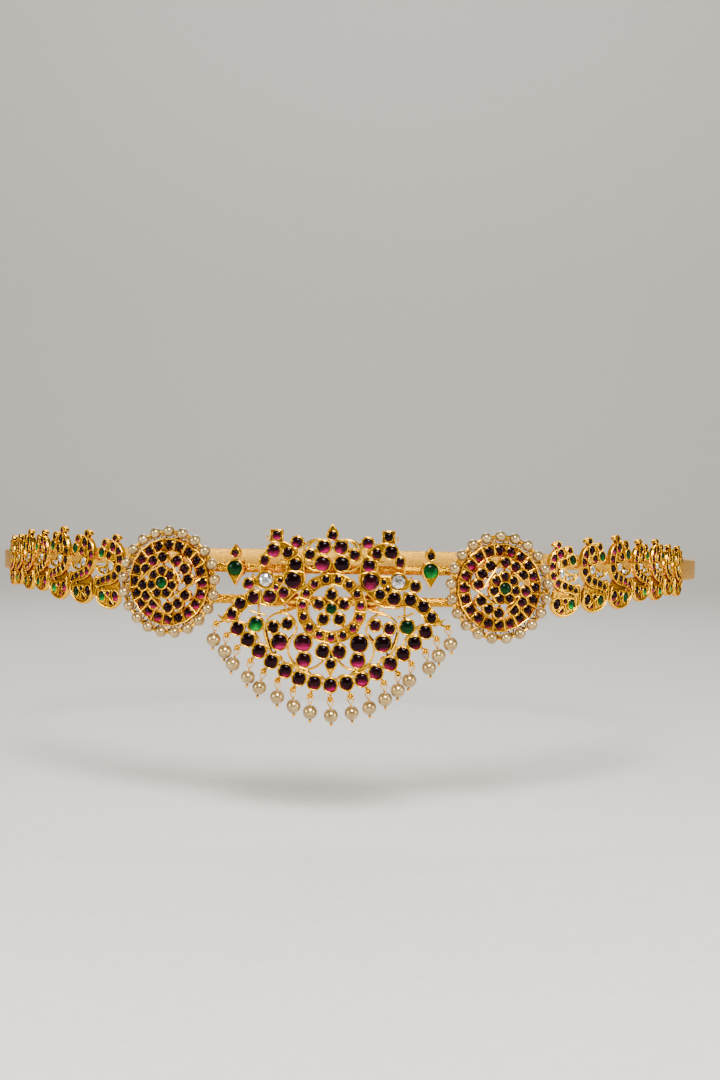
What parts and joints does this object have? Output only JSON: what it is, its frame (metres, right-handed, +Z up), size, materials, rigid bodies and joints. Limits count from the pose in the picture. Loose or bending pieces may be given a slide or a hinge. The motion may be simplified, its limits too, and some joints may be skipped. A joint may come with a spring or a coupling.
{
  "type": "oddiyanam waist belt",
  "caption": "Gold waist belt with a stone-set front pendant, pearl drops, two round medallions, bird links and a plain back strap.",
  "frame": {"origin": "middle of the belt's loop, level with the middle line of its front, where the waist sits", "axes": "+Z up, the pendant faces -Y, +X towards the right medallion as seen from the front"},
  "size_m": [0.2938, 0.2258, 0.0693],
  "materials": {
    "gold": "warm polished gold over silver, soldered cells and wire",
    "plain_gold": "stippled gold sheet",
    "rope_gold": "braided fine gold wire",
    "garnet": "dark red cabochons on foil",
    "emerald": "dark green cabochons on foil",
    "clear_stone": "faceted clear stones",
    "pearl": "cream pearl lustre"
  },
  "bodies": {
    "root": {"pendant_frame": "gold", "pendant_garnets_upper": "garnet", "pendant_garnets_lower": "garnet", "pendant_emeralds": "emerald", "pendant_clear_stones": "clear_stone", "drop_pins": "gold", "drop_pearls": "pearl", "rope_upper": "rope_gold", "rope_lower": "rope_gold", "slider_left": "gold", "slider_right": "gold", "slider_stones": "emerald", "medallion_left": "gold", "medallion_right": "gold", "medallion_stones_left": "garnet", "medallion_stones_right": "garnet", "rim_pearls_left": "pearl", "rim_pearls_right": "pearl", "pearl_wire_left": "gold", "pearl_wire_right": "gold", "link_left_1": "gold", "link_left_2": "gold", "link_left_3": "gold", "link_left_4": "gold", "link_left_5": "gold", "link_left_6": "gold", "link_left_7": "gold", "link_right_1": "gold", "link_right_2": "gold", "link_right_3": "gold", "link_right_4": "gold", "link_right_5": "gold", "link_right_6": "gold", "link_right_7": "gold", "link_rings_left": "gold", "link_rings_right": "gold", "strap_left": "plain_gold", "strap_right": "plain_gold", "clasp": "plain_gold"}
  },
  "joints": []
}
